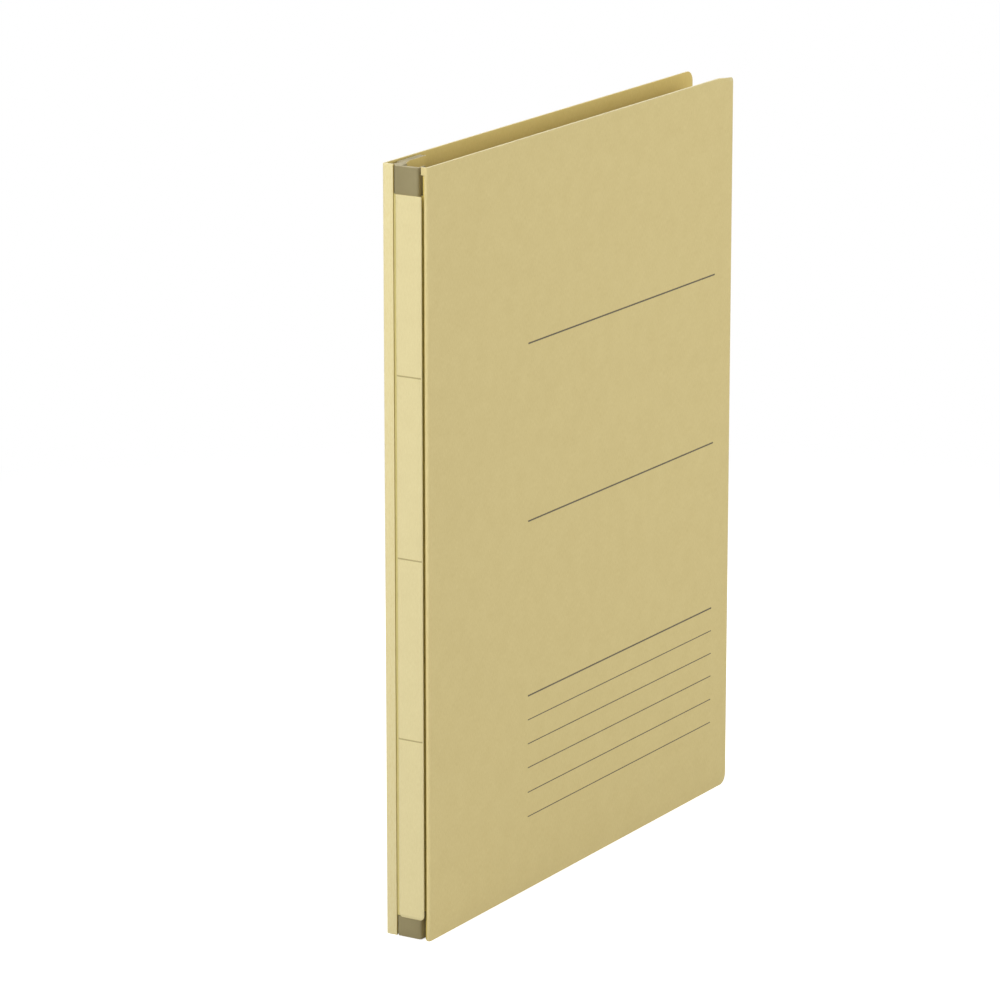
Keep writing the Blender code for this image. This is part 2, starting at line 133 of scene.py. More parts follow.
def copy_of(node, name):
    """A copy of a CAD node, with its loose triangles merged back into whole faces."""
    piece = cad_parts[node].copy()
    piece.data = piece.data.copy()
    piece.data.materials.clear()
    piece.name = piece.data.name = name
    piece.parent = None
    for key in list(piece.keys()):
        del piece[key]
    bpy.context.scene.collection.objects.link(piece)
    take_up(piece, "EDIT")
    bpy.ops.mesh.select_all(action="SELECT")
    bpy.ops.mesh.remove_doubles(threshold=0.002 * MM)
    bpy.ops.mesh.dissolve_limited(angle_limit=math.radians(1.0))
    take_up(piece)
    return piece


def block_out(name, low, high):
    """Start a piece from a cube primitive that fills the space between two corners."""
    bpy.ops.object.select_all(action="DESELECT")
    bpy.ops.mesh.primitive_cube_add(size=1.0, location=(low + high) / 2)
    piece = bpy.context.object
    piece.name = piece.data.name = name
    piece.scale = high - low
    bpy.ops.object.transform_apply(location=True, rotation=True, scale=True)
    bpy.ops.object.mode_set(mode="EDIT")
    return piece


def combine(piece, tool, operation):
    """Cut a tool's shape out of a piece, or join it on, and remove the tool."""
    finish_with(piece, "BOOLEAN", object=tool, operation=operation, solver="EXACT")
    bpy.data.objects.remove(tool, do_unlink=True)


def refinish(piece, finish, wanted, only=None):
    """Give a finish to the faces that pass a test on their middle and normal.

    The middle is in millimetres, as for spot. With only, just the faces that have that finish
    now are looked at.
    """
    if finish.name not in piece.data.materials:
        piece.data.materials.append(finish)
    for face in piece.data.polygons:
        middle = (face.center - spot(0.0, 0.0, 0.0)) / MM
        current = piece.data.materials[face.material_index]
        if only in (None, current) and wanted(middle, face.normal):
            face.material_index = piece.data.materials.find(finish.name)


def dye(code):
    """Linear colour from an sRGB hex value."""
    channels = [int(code[i:i + 2], 16) / 255 for i in (0, 2, 4)]
    linear = [c / 12.92 if c <= 0.04045 else ((c + 0.055) / 1.055) ** 2.4 for c in channels]
    return (*linear, 1.0)


def add_node(tree, kind, sockets=None, stops=(), **settings):
    """Add a node, set its properties and its ramp's stops, and set or link its sockets."""
    made = tree.nodes.new(kind)
    for name, value in settings.items():
        setattr(made, name, value)
    for number, (position, colour) in enumerate(stops):
        stop = made.color_ramp.elements[number]
        stop.position, stop.color = position, dye(colour)
    for name, value in (sockets or {}).items():
        if isinstance(value, bpy.types.NodeSocket):
            tree.links.new(value, made.inputs[name])
        else:
            made.inputs[name].default_value = value
    return made


def new_finish(name, colour, roughness, ior, specular=0.5):
    """A Principled material, with its node tree, its shader and its object coordinates."""
    made = bpy.data.materials.new(name)
    made.use_nodes = True
    made.diffuse_color = dye(colour)
    tree = made.node_tree
    shader = tree.nodes["Principled BSDF"]
    shader.inputs["Base Color"].default_value = dye(colour)
    shader.inputs["Roughness"].default_value = roughness
    shader.inputs["IOR"].default_value = ior
    shader.inputs["Specular IOR Level"].default_value = specular
    coordinates = add_node(tree, "ShaderNodeTexCoord").outputs["Object"]
    return made, tree, shader, coordinates


# Per metre: clouds 14 mm across, and grains of 0.4 mm.
FLOW_CLOUDS, SPARK_GRAINS = 70.0, 2500.0


def moulded_plastic(name, dark, light, roughness, specular):
    """Moulded polypropylene: an even colour with faint flow clouds, and the mould's spark texture.

    The texture's real grain of 0.05 mm can't show here, so it is drawn at 0.4 mm.
    """
    made, tree, shader, coordinates = new_finish(name, light, roughness, 1.49, specular)
    clouds = add_node(tree, "ShaderNodeTexNoise", {
        "Vector": coordinates, "Scale": FLOW_CLOUDS, "Detail": 3.0})
    tint = add_node(tree, "ShaderNodeValToRGB", {"Fac": clouds.outputs["Fac"]},
                    stops=((0.3, dark), (0.7, light)))
    tree.links.new(tint.outputs["Color"], shader.inputs["Base Color"])
    grain = add_node(tree, "ShaderNodeTexNoise", {
        "Vector": coordinates, "Scale": SPARK_GRAINS, "Detail": 2.0})
    shine = add_node(tree, "ShaderNodeMapRange", {
        "Value": grain.outputs["Fac"], "To Min": roughness - 0.05, "To Max": roughness + 0.07})
    tree.links.new(shine.outputs["Result"], shader.inputs["Roughness"])
    bump = add_node(tree, "ShaderNodeBump", {
        "Height": grain.outputs["Fac"], "Strength": 0.25, "Distance": 0.03 * MM})
    tree.links.new(bump.outputs["Normal"], shader.inputs["Normal"])
    return made


END_GAP, END_GROOVE, GROOVE_FILL = 0.3, 0.6, 0.35
PAINTED_HIGHLIGHT_END = 1.0
SLANTED = 0.3  # least part of a face's unit normal along an axis
BOX_LEFT, BOX_FACE = 5.0, -0.5
REBATE_WIDTH, REBATE_DEPTH, SEAT_DEPTH = 0.9, 1.2, 0.8
LABEL_LEFT, LABEL_LOW, LABEL_HIGH = 6.6, 8.4, 295.8
CUTTER_PAST = 0.5

rail = copy_of("spine_rail", "moulded_spine_rail")
take_up(rail, "EDIT")
for level, way in ((END_GAP + END_GROOVE, -1), (HEIGHT - END_GAP - END_GROOVE, 1)):
    choose(rail, "VERT", lambda point: same(point.z, level * MM))
    bpy.ops.transform.translate(value=shift(0.0, 0.0, way * GROOVE_FILL))
take_up(rail)
for width, depth, low, high in (
        (REBATE_WIDTH, REBATE_DEPTH, 0.0, HEIGHT),
        (LABEL_LEFT - BOX_LEFT, SEAT_DEPTH, LABEL_LOW, LABEL_HIGH)):
    cutter = block_out("cutter", spot(BOX_LEFT - CUTTER_PAST, BOX_FACE - CUTTER_PAST, low),
                       spot(BOX_LEFT + width, BOX_FACE + depth, high))
    combine(rail, cutter, "DIFFERENCE")
soften(rail, width=0.16)
rail.data.materials.append(moulded_plastic(
    "grey_brown_moulded_polypropylene", "887E5C", "908664", roughness=0.65, specular=0.1))
# A paler copy of the plastic on the faces at the top and foot: a painted highlight of the light
# from above.
refinish(
    rail,
    moulded_plastic(
        "grey_brown_polypropylene_painted_highlight", "A99E7C", "B2A785", roughness=0.7, specular=0.1),
    lambda middle, normal: (
        abs(normal.z) > SLANTED and abs(middle.z - HEIGHT / 2) > HEIGHT / 2 - PAINTED_HIGHLIGHT_END))
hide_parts("spine_rail")
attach(rail, "spine")


# Back board
# One sheet of 0.8 mm board, dyed in the pulp: the back cover, its creased fold, and the narrow
# edge beyond the fold that is glued on the rail. It is die-cut, so its cut edges show raw fibre,
# paler, and painted paler still as a highlight. The narrow edge on the spine is painted paler as
# painted light, and the faces inside the file get a more saturated painted shade.

BOARD = 0.8
FOLD_RADIUS = 0.5
FORE_EDGE = 238.0
CORNER = 4.5
# The covers' outlines are painted paler, partly rubbed wear and partly a painted highlight.
RIM_WEAR_AND_HIGHLIGHT_WIDTH, RIM_MOST_WEAR_AND_HIGHLIGHT = 0.6, 0.9
# Up to this depth behind the folds the board is painted paler: on the back board the whole
# turned-in strip, as painted light, and the folds partly rubbed, partly a painted highlight.
FOLD_WEAR_AND_LIGHT_TO = 1.2
TURNED_IN_TO = 4.8
SOFT_EDGE = 0.1
FACING = 0.6  # least part of a face's unit normal along an axis

# Per metre: clouds 7 mm across, and fibres of 0.4 mm, five times as long as they are wide.
FORMATION_CLOUDS, FIBRES, FIBRE_STRETCH = 140.0, 2600.0, 0.22


def board_finish(name, dark, light, worn_and_lit):
    """Board dyed in the pulp: matte, with cloudy formation, short fibres and a faint tooth.

    The real fibres are 1 to 3 mm long and 0.03 mm wide; they are drawn 0.4 mm wide to show. Where
    the piece's stored attribute of wear and painted light is high, the colour turns paler in
    patches:
    partly rubbed fibres that stand open, partly painted light and painted highlight.
    """
    made, tree, shader, coordinates = new_finish(name, light, 0.8, 1.45, 0.25)
    clouds = add_node(tree, "ShaderNodeTexNoise", {
        "Vector": coordinates, "Scale": FORMATION_CLOUDS, "Detail": 4.0})
    stretch = add_node(tree, "ShaderNodeMapping", {
        "Vector": coordinates, "Scale": (1.0, 1.0, FIBRE_STRETCH)})
    fibres = add_node(tree, "ShaderNodeTexNoise", {
        "Vector": stretch.outputs["Vector"], "Scale": FIBRES, "Detail": 3.0, "Roughness": 0.6})
    mixed = add_node(tree, "ShaderNodeMix", {
        "Factor": 0.75, "A": clouds.outputs["Fac"], "B": fibres.outputs["Fac"]})
    tint = add_node(tree, "ShaderNodeValToRGB", {"Fac": mixed.outputs["Result"]},
                    stops=((0.3, dark), (0.7, light)))
    # Paler where the stored attribute is high: partly rubbed wear, partly painted light.
    wear_and_painted_light = add_node(tree, "ShaderNodeAttribute", attribute_name="wear_and_painted_light")
    patchiness = add_node(tree, "ShaderNodeMapRange", {
        "Value": fibres.outputs["Fac"], "From Min": 0.35, "From Max": 0.6,
        "To Min": 0.6, "To Max": 1.0})
    amount = add_node(tree, "ShaderNodeMath", {
        0: wear_and_painted_light.outputs["Fac"], 1: patchiness.outputs["Result"]}, operation="MULTIPLY")
    paled = add_node(tree, "ShaderNodeMix", {
        "Factor": amount.outputs[0], "A": tint.outputs["Color"], "B": dye(worn_and_lit)},
        data_type="RGBA")
    tree.links.new(paled.outputs["Result"], shader.inputs["Base Color"])
    dull = add_node(tree, "ShaderNodeMapRange", {
        "Value": mixed.outputs["Result"], "To Min": 0.72, "To Max": 0.86})
    tree.links.new(dull.outputs["Result"], shader.inputs["Roughness"])
    bump = add_node(tree, "ShaderNodeBump", {
        "Height": mixed.outputs["Result"], "Strength": 0.3, "Distance": 0.05 * MM})
    tree.links.new(bump.outputs["Normal"], shader.inputs["Normal"])
    return made


def blank(name, start, end):
    """Start a piece from a plane primitive that spans two corners in the YZ or the XZ plane."""
    bpy.ops.object.select_all(action="DESELECT")
    size = end - start
    upright = (0.0, math.pi / 2, 0.0) if same(start.x, end.x) else (math.pi / 2, 0.0, 0.0)
    bpy.ops.mesh.primitive_plane_add(size=1.0, location=(start + end) / 2, rotation=upright)
    piece = bpy.context.object
    piece.name = piece.data.name = name
    piece.scale = (size.z, size.y, 1.0) if upright[1] else (size.x, size.z, 1.0)
    bpy.ops.object.transform_apply(location=True, rotation=True, scale=True)
    bpy.ops.object.mode_set(mode="EDIT")
    return piece


def choose_upright(piece, across, deep, low=0.0, high=HEIGHT):
    """Select the upright edges that stand at this place, from one height to another."""
    place = spot(across, deep, 0.0)
    choose(piece, "EDGE", lambda a, b: all(
        same(end.x, place.x) and same(end.y, place.y) and low - NEAR < end.z / MM < high + NEAR
        for end in (a, b)))


def draw_out(move):
    """Extrude what is selected by this move."""
    bpy.ops.mesh.extrude_region_move(TRANSFORM_OT_translate={"value": move})


def bend_round(across, deep, degrees, steps):
    """Spin the selected edge round an upright line at this place, to bend the board there."""
    bpy.ops.mesh.spin(steps=steps, angle=math.radians(degrees), center=spot(across, deep, 0.0),
                      axis=(0.0, 0.0, 1.0))


def cover_blank(name, middle_across, upper_corner=CORNER):
    """The flat of a cover, in the middle of the board, with its two fore corners rounded.

    The edge that the fold grows from is left selected.
    """
    start = BOARD / 2 + FOLD_RADIUS
    fore_edge = spot(middle_across, FORE_EDGE, HEIGHT)
    piece = blank(name, spot(middle_across, start, 0.0), fore_edge)
    for radius, is_upper in ((CORNER, False), (upper_corner, True)):
        choose(piece, "VERT", lambda point: (
            same(point.y, fore_edge.y) and (point.z > HEIGHT / 2 * MM) == is_upper))
        bpy.ops.mesh.bevel(offset=radius * MM, segments=12, affect="VERTICES")
    bpy.ops.mesh.select_all(action="SELECT")
    # An edge loop that bounds the paler rim of wear and painted highlight.
    bpy.ops.mesh.inset(thickness=RIM_WEAR_AND_HIGHLIGHT_WIDTH * MM)
    choose_upright(piece, middle_across, start)
    return piece


def thicken(piece, thickness, faces, edges, **settings):
    """Give a sheet its thickness, half to each side, with its own finish on the cut edges."""
    piece.data.materials.append(faces)
    piece.data.materials.append(edges)
    finish_with(piece, "SOLIDIFY", thickness=thickness * MM, offset=0.0, use_even_offset=True,
                use_rim=True, material_offset_rim=1, **settings)


def store_wear_and_painted_light(piece, amount):
    """Store how much paler each point is painted, for wear and for painted light, from a function
    of its place in the file in millimetres.
    """
    worn_and_lit = piece.data.attributes.new("wear_and_painted_light", "FLOAT", "POINT")
    for point, value in zip(piece.data.vertices, worn_and_lit.data):
        place = (point.co - spot(0.0, 0.0, 0.0)) / MM
        value.value = min(max(amount(*place), 0.0), 1.0)


def rim_wear_and_highlight(deep, height):
    """How much paler a cover is painted at its outline, partly for wear and partly as a painted
    highlight: most at the outline, and not at all further in than the rim's width.
    """
    past_deep = max(deep - (FORE_EDGE - CORNER), 0.0)
    past_high = max(abs(height - HEIGHT / 2) - (HEIGHT / 2 - CORNER), 0.0)
    if past_deep:
        inwards = CORNER - math.hypot(past_deep, past_high)
    else:
        inwards = CORNER - past_high
    return RIM_MOST_WEAR_AND_HIGHLIGHT * (1.0 - inwards / RIM_WEAR_AND_HIGHLIGHT_WIDTH) if deep > BOARD + FOLD_RADIUS else 0.0


cover_board = board_finish("dyed_pulp_board", "CBB980", "D6C68D", "D8CC9C")
# A more saturated copy of the board: painted shade for faces inside the file, where light has
# bounced between the boards.
board_painted_shade = board_finish("dyed_pulp_board_painted_shade", "CDB86F", "D8C37D", "D8C37D")
# A still more saturated copy: deeper painted shade for the lip in the gap by the front fold.
board_deeper_painted_shade = board_finish("dyed_pulp_board_deeper_painted_shade", "D1BA63", "DCC670", "DCC670")
# Cut edges: paler raw fibre, painted paler still as a highlight.
cut_edge_board_and_highlight = board_finish("raw_cut_board_edge_and_painted_highlight", "DDD0A0", "EEE4BE", "F0E8C8")

back_board = cover_blank("back_board", BOARD / 2)
bend_round(BOARD / 2 + FOLD_RADIUS, BOARD / 2 + FOLD_RADIUS, degrees=-90.0, steps=6)
choose_upright(back_board, BOARD / 2 + FOLD_RADIUS, BOARD / 2)
draw_out(shift(TURNED_IN_TO - BOARD / 2 - FOLD_RADIUS, 0.0, 0.0))
thicken(back_board, BOARD, cover_board, cut_edge_board_and_highlight)
soften(back_board, SOFT_EDGE)
# The spine strip is painted paler all over, painted light where the key lamp falls; the fold is
# partly rubbed, partly a painted highlight; and the rim as above.
store_wear_and_painted_light(back_board, lambda across, deep, height: (
    max(FOLD_WEAR_AND_LIGHT_TO - deep, rim_wear_and_highlight(deep, height))))
# Painted shade: the cover's inner face, the strip's back and the strip's free edge get the more
# saturated board.
refinish(back_board, board_painted_shade, only=cover_board, wanted=lambda middle, normal: (
    normal.x > FACING and middle.y > BOARD or normal.y > FACING))
refinish(back_board, board_painted_shade, wanted=lambda middle, normal: (
    normal.x > FACING and middle.x > TURNED_IN_TO - SOFT_EDGE))
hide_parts("back_cover_panel", "back_spine_strip")
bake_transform(back_board)


# Facing of the inner leg
# A strip of paper dyed like the boards, and given their more saturated painted-shade colour. It is
# glued on the side of the rail's inner leg that the sheets lie against, from the box to the leg's
# edge, and has two holes for the stakes.

FACING_ACROSS, FACING_THICKNESS, FACING_SHORT = 5.1, 0.15, 0.4
LEG_BEND, LEG_END = 11.0, 23.1
BOX_CORNER_ACROSS, BOX_CORNER_DEEP = 7.3, 5.0
HOLE_LINE = 17.2
STAKE_HEIGHTS, STAKE_HOLE_RADIUS = (97.5, 209.5), 1.6

leg_facing = blank("inner_leg_facing", spot(FACING_ACROSS, LEG_BEND, FACING_SHORT),
                   spot(FACING_ACROSS, LEG_END, HEIGHT - FACING_SHORT))
choose_upright(leg_facing, FACING_ACROSS, LEG_BEND)
draw_out(shift(BOX_CORNER_ACROSS - FACING_ACROSS, BOX_CORNER_DEEP - LEG_BEND, 0.0))
# The facing gets the boards' painted-shade colour.
thicken(leg_facing, FACING_THICKNESS, board_painted_shade, cut_edge_board_and_highlight)
for height in STAKE_HEIGHTS:
    bpy.ops.object.select_all(action="DESELECT")
    bpy.ops.mesh.primitive_cylinder_add(
        vertices=32, radius=STAKE_HOLE_RADIUS * MM, depth=4 * CUTTER_PAST * MM,
        rotation=(0.0, math.pi / 2, 0.0), location=spot(FACING_ACROSS, HOLE_LINE, height))
    combine(leg_facing, bpy.context.object, "DIFFERENCE")
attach(leg_facing, "spine")


# Front board
# The other sheet of the same board, die-cut and creased: the front cover, its fold, and the strip
# that slants back to the rail's slot, pressed thinner and cut short at the rail's ends. The strip's
# upper corner has sprung forward, and the cover's upper fore corner is crushed.

FILE_THICKNESS = 20.0
FLAP_BOARD = 0.5
FLAP_MIDDLE_DEEP = 2.35
FLAP_LOW, FLAP_HIGH = 11.3, 295.7
FRONT_MIDDLE = FILE_THICKNESS - BOARD / 2
FRONT_BEND = FRONT_MIDDLE - FOLD_RADIUS
SLANT = math.radians(45.0)
LIP_ACROSS = FRONT_BEND - FOLD_RADIUS * math.sin(SLANT)
LIP_DEEP = BOARD / 2 + FOLD_RADIUS - FOLD_RADIUS * math.cos(SLANT)
LIP_REACH = FLAP_MIDDLE_DEEP - LIP_DEEP
LIP_END_ACROSS = LIP_ACROSS - LIP_REACH
SEAM_ACROSS = 15.5
# From this place across, the front board is painted paler at its fold and rim, partly rubbed and
# partly a painted highlight.
WEAR_AND_LIGHT_FROM, FRONT_FOLD_WEAR_AND_LIGHT = 18.4, 0.15
LIP_SHADED_TO = 18.6
SPRUNG_FROM, SPRUNG_FULLY_FROM = 303.7, 304.2
SPRUNG_ACROSS, SPRUNG_OUT = 0.3, 1.95
SHARP_CORNER = 2.0
CRUSHED_FROM, CRUSH_STEP, CRUSH_MARGIN = 226.0, 3.0, 0.5
CRUSH_FALLS = (0.0, 0.3, 0.4, 0.3)
CRUSH_STEPS = [CRUSHED_FROM + number * CRUSH_STEP for number in range(len(CRUSH_FALLS))]


def slice_at(place, way):
    """Cut through the whole sheet at this place, square to this way."""
    bpy.ops.mesh.select_all(action="SELECT")
    bpy.ops.mesh.bisect(plane_co=place, plane_no=way)


front_board = cover_blank("front_board", FRONT_MIDDLE, SHARP_CORNER)
bend_round(FRONT_BEND, BOARD / 2 + FOLD_RADIUS, degrees=135.0, steps=9)
choose_upright(front_board, LIP_ACROSS, LIP_DEEP)
draw_out(shift(-LIP_REACH, LIP_REACH, 0.0))
for level in (FLAP_LOW, FLAP_HIGH, SPRUNG_FROM, SPRUNG_FULLY_FROM):
    slice_at(spot(0.0, 0.0, level), (0.0, 0.0, 1.0))
for deep in CRUSH_STEPS:
    slice_at(spot(0.0, deep, 0.0), (0.0, 1.0, 0.0))
sprung = spot(LIP_END_ACROSS, 0.0, (SPRUNG_FROM + SPRUNG_FULLY_FROM) / 2)
choose(front_board, "VERT", lambda point: same(point.x, sprung.x) and point.z > sprung.z)
bpy.ops.transform.translate(value=shift(SPRUNG_ACROSS, -SPRUNG_OUT, 0.0))
choose_upright(front_board, LIP_END_ACROSS, FLAP_MIDDLE_DEEP, FLAP_LOW, FLAP_HIGH)
draw_out(shift(SEAM_ACROSS - LIP_END_ACROSS, 0.0, 0.0))
take_up(front_board)
full_thickness = front_board.vertex_groups.new(name="full_thickness")
for point in front_board.data.vertices:
    is_full = point.co.x > spot(LIP_ACROSS - NEAR, 0.0, 0.0).x
    full_thickness.add([point.index], 1.0 if is_full else 0.0, "REPLACE")
thicken(front_board, BOARD, cover_board, cut_edge_board_and_highlight, vertex_group="full_thickness",
        thickness_vertex_group=FLAP_BOARD / BOARD)
soften(front_board, SOFT_EDGE)
# The fold is painted a little paler, partly rubbed and partly a painted highlight, and so is the
# rim.
store_wear_and_painted_light(front_board, lambda across, deep, height: (
    max(FRONT_FOLD_WEAR_AND_LIGHT * (FOLD_WEAR_AND_LIGHT_TO - deep), rim_wear_and_highlight(deep, height))
    if across > WEAR_AND_LIGHT_FROM else 0.0))
# Painted shade: the cover's inner face and the lip's back get the more saturated board, and the
# lip's face in the gap below the sprung corner a deeper painted shade; the sprung corner above
# keeps the lit colour.
refinish(front_board, board_painted_shade, only=cover_board, wanted=lambda middle, normal: (
    normal.x < -FACING and middle.y > 2.0 * BOARD
    or normal.y > SLANTED and middle.x < LIP_SHADED_TO and middle.z < SPRUNG_FROM))
refinish(front_board, board_deeper_painted_shade, only=cover_board, wanted=lambda middle, normal: (
    middle.x < LIP_SHADED_TO and middle.z < SPRUNG_FROM))
take_up(front_board, "EDIT")
for deep, fall in zip(CRUSH_STEPS, CRUSH_FALLS):
    edge = spot(0.0, deep - CRUSH_MARGIN, HEIGHT - SHARP_CORNER - CRUSH_MARGIN)
    choose(front_board, "VERT", lambda point: point.z > edge.z and point.y > edge.y)
    bpy.ops.transform.translate(value=shift(0.0, 0.0, -fall))
take_up(front_board)
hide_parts("front_cover_panel")
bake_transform(front_board)


# Flap and its tail
# The rest of the front board's strip. It lies in the rail's slot behind the title strip, turns
# round the back corner, and is stored between the rail's legs. It slides out as the spine grows.

TAIL_SEAM = 7.45
TAIL_MIDDLE_ACROSS, TAIL_END = 3.65, 106.9
FLAP_BEND = 3.0

flap_sheet = blank("flap_sheet", spot(TAIL_SEAM, FLAP_MIDDLE_DEEP, FLAP_LOW),
                   spot(SEAM_ACROSS, FLAP_MIDDLE_DEEP, FLAP_HIGH))
# The flap gets the boards' painted-shade colour.
thicken(flap_sheet, FLAP_BOARD, board_painted_shade, cut_edge_board_and_highlight)
soften(flap_sheet, width=0.06)
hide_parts("front_flap")
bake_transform(flap_sheet)

tail = blank("stored_flap_tail",
             spot(TAIL_MIDDLE_ACROSS + FLAP_BEND, FLAP_MIDDLE_DEEP, FLAP_LOW),
             spot(TAIL_SEAM, FLAP_MIDDLE_DEEP, FLAP_HIGH))
choose_upright(tail, TAIL_MIDDLE_ACROSS + FLAP_BEND, FLAP_MIDDLE_DEEP)
bend_round(TAIL_MIDDLE_ACROSS + FLAP_BEND, FLAP_MIDDLE_DEEP + FLAP_BEND, degrees=90.0, steps=10)
choose_upright(tail, TAIL_MIDDLE_ACROSS, FLAP_MIDDLE_DEEP + FLAP_BEND)
draw_out(shift(0.0, TAIL_END - FLAP_MIDDLE_DEEP - FLAP_BEND, 0.0))
# The tail gets the boards' painted-shade colour.
thicken(tail, FLAP_BOARD, board_painted_shade, cut_edge_board_and_highlight)
soften(tail, width=0.06)
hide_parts("flap_tail")
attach(tail, "spine")
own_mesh(tail)


# Title strip
# A strip of smoother board with pressed-down rims and round corners, glued over the rail's face.
# Its paper backing lies in the rail's seat and shows at the strip's left, in a darker olive dye
# that is painted shade in the groove there.

LABEL_RIGHT, LABEL_FACE = 17.9, -1.3
RIM_WIDTH, RIM_DROP = 1.0, 0.3
FOOT_CORNER, HEAD_CORNER = 1.8, 0.4
SQUARE_ON = 0.9  # least part of a face's unit normal along an axis
BACKING_THICKNESS, BACKING_SHORT = 0.12, 0.1
BACKING_DEEP = BOX_FACE + SEAT_DEPTH - BACKING_THICKNESS / 2 - NEAR


def runs_inwards(a, b):
    """True for an edge that runs straight from the spine's face into the file."""
    return same((b - a).length, abs(b.y - a.y))


title_strip = block_out("title_strip", spot(LABEL_LEFT, LABEL_FACE + RIM_DROP, LABEL_LOW),
                        spot(LABEL_RIGHT, BOX_FACE, LABEL_HIGH))
choose(title_strip, "EDGE", lambda a, b: runs_inwards(a, b) and a.z < HEIGHT / 2 * MM)
bpy.ops.mesh.bevel(offset=FOOT_CORNER * MM, segments=10, affect="EDGES")
choose(title_strip, "FACE", lambda middle, normal: normal.y < -SQUARE_ON)
bpy.ops.mesh.inset(thickness=RIM_WIDTH * MM, depth=RIM_DROP * MM)
choose(title_strip, "VERT", lambda point: same(point.z, (LABEL_HIGH - RIM_WIDTH) * MM))
bpy.ops.transform.translate(value=shift(0.0, 0.0, RIM_WIDTH - RIM_DROP))
choose(title_strip, "EDGE", lambda a, b: runs_inwards(a, b) and same(a.z, LABEL_HIGH * MM))
bpy.ops.mesh.bevel(offset=HEAD_CORNER * MM, segments=5, affect="EDGES")
soften(title_strip, width=0.25, segments=3, sharper_than=12.0)
title_strip.data.materials.append(board_finish("smooth_title_board", "CFC291", "D7CB9A", "D8CC9F"))
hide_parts("spine_label")
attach(title_strip, "spine")

backing = blank("title_strip_backing",
                spot(BOX_LEFT + BACKING_SHORT / 2, BACKING_DEEP, LABEL_LOW + BACKING_SHORT),
                spot(LABEL_LEFT - NEAR, BACKING_DEEP, LABEL_HIGH - BACKING_SHORT))
# The backing's darker olive dye is painted shade for the groove beside the title strip.
thicken(backing, BACKING_THICKNESS,
        board_finish("backing_paper_painted_shade", "BBAD6C", "C5B776", "C5B776"), cut_edge_board_and_highlight)
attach(backing, "spine")


# Printed rules
# Thin films of offset ink. Three pale rules part the title strip into four title panels, and on
# the front cover three dark rules and five finer ones are for the file's name and contents.

INK_FILM, INK_PROUD = 0.02, 0.008
INK_SPECKLES = 3000.0
TITLE_RULE_WIDTH, TITLE_RULE_HEIGHTS, TITLE_RULE_DROP = 0.58, (225.7, 153.7, 81.3), 0.8
WIDE, FINE = 0.65, 0.42
COVER_RULES = ((225.0, WIDE), (153.0, WIDE), (81.0, WIDE), (71.0, FINE), (61.0, FINE),
               (51.0, FINE), (40.7, FINE), (30.5, FINE))
COVER_RULE_START, COVER_RULE_END = 74.0, 224.0


def printed_rule(name, start, end, width, outward, rim=0.0):
    """A rule of ink from start to end, this many millimetres wide, standing a hair proud.

    Its ends may run on down a sloping rim for this many millimetres.
    """
    half = shift(0.0, 0.0, width / 2)
    low, high = start - half, end + half
    piece = blank(name, low, high)
    if rim:
        for end_x, side in ((low.x, -1), (high.x, 1)):
            choose(piece, "EDGE", lambda a, b: same(a.x, end_x) and same(b.x, end_x))
            draw_out(shift(side * rim, rim * RIM_DROP / RIM_WIDTH, 0.0))
    finish_with(piece, "SOLIDIFY", thickness=INK_FILM * MM, offset=0.0)
    piece.data.transform(Matrix.Translation(Vector(outward) * INK_PROUD * MM))
    return piece


def offset_ink(name, full, thin):
    """Printing ink in a thin film: matte, with the board's tooth showing through as speckle."""
    made, tree, shader, coordinates = new_finish(name, full, 0.6, 1.5)
    speckle = add_node(tree, "ShaderNodeTexNoise", {
        "Vector": coordinates, "Scale": INK_SPECKLES, "Detail": 2.0})
    cover_up = add_node(tree, "ShaderNodeValToRGB", {"Fac": speckle.outputs["Fac"]},
                        stops=((0.35, full), (0.75, thin)))
    tree.links.new(cover_up.outputs["Color"], shader.inputs["Base Color"])
    return made


title_rules = [
    printed_rule(f"title_rule_{number}", spot(LABEL_LEFT + RIM_WIDTH, LABEL_FACE, level),
                 spot(LABEL_RIGHT - RIM_WIDTH, LABEL_FACE, level), TITLE_RULE_WIDTH,
                 (0.0, -1.0, 0.0), rim=TITLE_RULE_DROP)
    for number, level in enumerate(TITLE_RULE_HEIGHTS, start=1)]
cover_rules = [
    printed_rule(f"cover_rule_{number}", spot(FILE_THICKNESS, COVER_RULE_START, level),
                 spot(FILE_THICKNESS, COVER_RULE_END, level), width, (1.0, 0.0, 0.0))
    for number, (level, width) in enumerate(COVER_RULES, start=1)]
for rules, body, ink in (
        (title_rules, "spine", offset_ink("pale_olive_offset_ink", "A39565", "AFA16F")),
        (cover_rules, "front_cover", offset_ink("dark_olive_offset_ink", "453D26", "5A5033"))):
    for rule in rules:
        rule.data.materials.append(ink)
        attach(rule, body)


# Fastener
# Four moulded pieces in off-white polypropylene hold sheets with two punched holes: prongs folded
# flat, a plate staked to the rail's inner leg, a press bar, and two keepers that slide along it.

MIDDLE = HEIGHT / 2
HALF_PITCH = 40.0
PRONG_ACROSS, PRONG_RISE, PRONG_BLADE = 5.5, 3.3, 105.0
PRONG_HALF_WIDTH, PRONG_THICKNESS = 3.0, 0.6
PRONG_BEND, PRONG_TIP = 0.6, 2.6
GRIPS, GRIP_HALF_WIDTH, GRIP_SHORT = 4, 0.35, 1.6
GRIP_ROOT, GRIP_PROUD = 0.2, 0.3

fastener_plastic = moulded_plastic(
    "off_white_moulded_polypropylene", "DEDCD2", "E6E4DB", roughness=0.42, specular=0.5)

